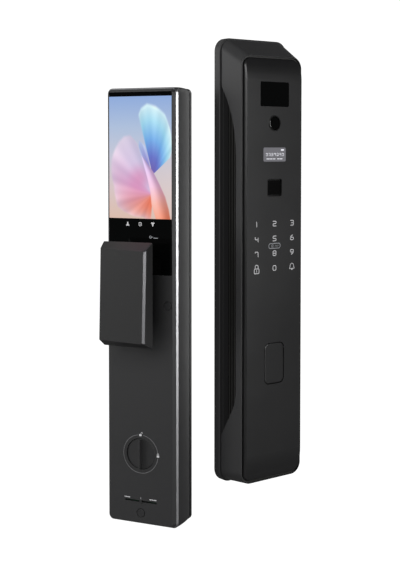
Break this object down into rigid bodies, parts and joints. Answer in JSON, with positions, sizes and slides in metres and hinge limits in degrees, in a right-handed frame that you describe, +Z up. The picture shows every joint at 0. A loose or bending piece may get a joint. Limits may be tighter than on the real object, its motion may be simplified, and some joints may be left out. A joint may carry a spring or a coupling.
{
  "type": "keypad smart lock",
  "caption": "Keypad smart lock: a slim outside unit with keypad, camera window and side grips, and an inside unit with screen, push handle and thumb turn.",
  "frame": {"origin": "centre of the outside unit's mounting face", "axes": "+Z up, +Y out of the outside unit's mounting face into the door, -Y towards the person outside; the inside unit stands beside it, turned 62 degrees about Z"},
  "size_m": [0.1868, 0.1259, 0.4635],
  "materials": {
    "charcoal_metal": "satin powder coat",
    "handle_metal": "satin powder coat",
    "panel_polymer": "satin",
    "grip_plastic": "ribbed, matt",
    "black_glass": "gloss",
    "display_cover": "gloss",
    "bright_trim": "brushed",
    "foam_rubber": "matt",
    "black_coat": "matt",
    "sensor_black": "satin",
    "turn_metal": "satin",
    "button_metal": "satin",
    "steel": "plain",
    "brass": "machined",
    "circuit_board": "solder mask",
    "module_grey": "plain",
    "lit_display": "lit screen",
    "battery_wrap": "shrink wrap",
    "tray_plastic": "plain"
  },
  "bodies": {
    "lock": {"outside_back_plate": "charcoal_metal", "outside_body": "charcoal_metal", "inside_housing": "charcoal_metal", "inside_face_plate": "charcoal_metal", "outside_front_panel": "panel_polymer", "left_grip_liner": "grip_plastic", "right_grip_liner": "grip_plastic", "outside_panel_carrier": "grip_plastic", "display_glass": "black_glass", "camera_window": "black_glass", "peephole_lens": "black_glass", "display_window": "display_cover", "inside_trim": "bright_trim", "outside_gasket": "foam_rubber", "inside_gasket": "foam_rubber", "outside_cable_grommet": "foam_rubber", "inside_cable_grommet": "foam_rubber", "inside_back_plate": "black_coat", "peephole_ring": "black_coat", "fingerprint_ring": "black_coat", "handle_guide": "black_coat", "fingerprint_sensor": "sensor_black", "thumb_turn_bezel": "turn_metal", "outside_body_screws": "steel", "inside_body_screws": "steel", "outside_bolt_posts": "steel", "key_cover_pin": "steel", "cylinder_bracket": "steel", "emergency_power_port": "steel", "key_cylinder": "brass", "spindle_bush": "brass", "outside_main_board": "circuit_board", "inside_main_board": "circuit_board", "touch_board": "circuit_board", "face_camera": "circuit_board", "peephole_camera": "circuit_board", "button_switches": "circuit_board", "mode_switch": "circuit_board", "outside_speaker": "module_grey", "inside_speaker": "module_grey", "screen_module": "lit_display", "display_module": "lit_display", "battery_pack": "battery_wrap", "battery_tray": "tray_plastic"},
    "key_cover": {"key_cover": "panel_polymer"},
    "key_plug": {"key_plug": "brass", "cylinder_tailpiece": "steel"},
    "tamper_plunger": {"tamper_plunger": "module_grey"},
    "handle": {"handle_neck": "charcoal_metal", "handle_back": "charcoal_metal", "handle_grip": "handle_metal", "handle_screws": "steel"},
    "side_button": {"side_button": "button_metal"},
    "lower_button": {"lower_button": "button_metal"},
    "thumb_turn": {"thumb_turn": "turn_metal", "thumb_turn_spindle": "steel"},
    "mode_slider": {"mode_slider": "button_metal"}
  },
  "joints": [
    {"name": "key_cover_hinge", "type": "hinge", "parent": "lock", "child": "key_cover", "pos_m": [0, -0.0388, -0.08225], "axis": [-1, 0, 0], "range_deg": [0, 95]},
    {"name": "key_turn", "type": "hinge", "parent": "lock", "child": "key_plug", "pos_m": [0, -0.02, -0.096], "axis": [0, 1, 0], "range_deg": [0, 90]},
    {"name": "tamper_slide", "type": "slide", "parent": "lock", "child": "tamper_plunger", "axis": [0, 1, 0], "range_m": [0, 0.0025]},
    {"name": "handle_push", "type": "slide", "parent": "lock", "child": "handle", "axis": [0.8829, 0.4695, 0], "range_m": [0, 0.004], "stiffness_N_per_m": 1000, "springref_m": -0.004},
    {"name": "side_button_press", "type": "slide", "parent": "lock", "child": "side_button", "axis": [0.8829, 0.4695, 0], "range_m": [0, 0.001], "stiffness_N_per_m": 500, "springref_m": -0.001},
    {"name": "lower_button_press", "type": "slide", "parent": "lock", "child": "lower_button", "axis": [0.8829, 0.4695, 0], "range_m": [0, 0.001], "stiffness_N_per_m": 500, "springref_m": -0.001},
    {"name": "thumb_turn_rotation", "type": "hinge", "parent": "lock", "child": "thumb_turn", "pos_m": [-0.09067, 0.04196, -0.1832], "axis": [0.8829, 0.4695, 0], "range_deg": [0, 90]},
    {"name": "mode_slide", "type": "slide", "parent": "lock", "child": "mode_slider", "axis": [0.4695, -0.8829, 0], "range_m": [-0.013, 0.013]}
  ]
}
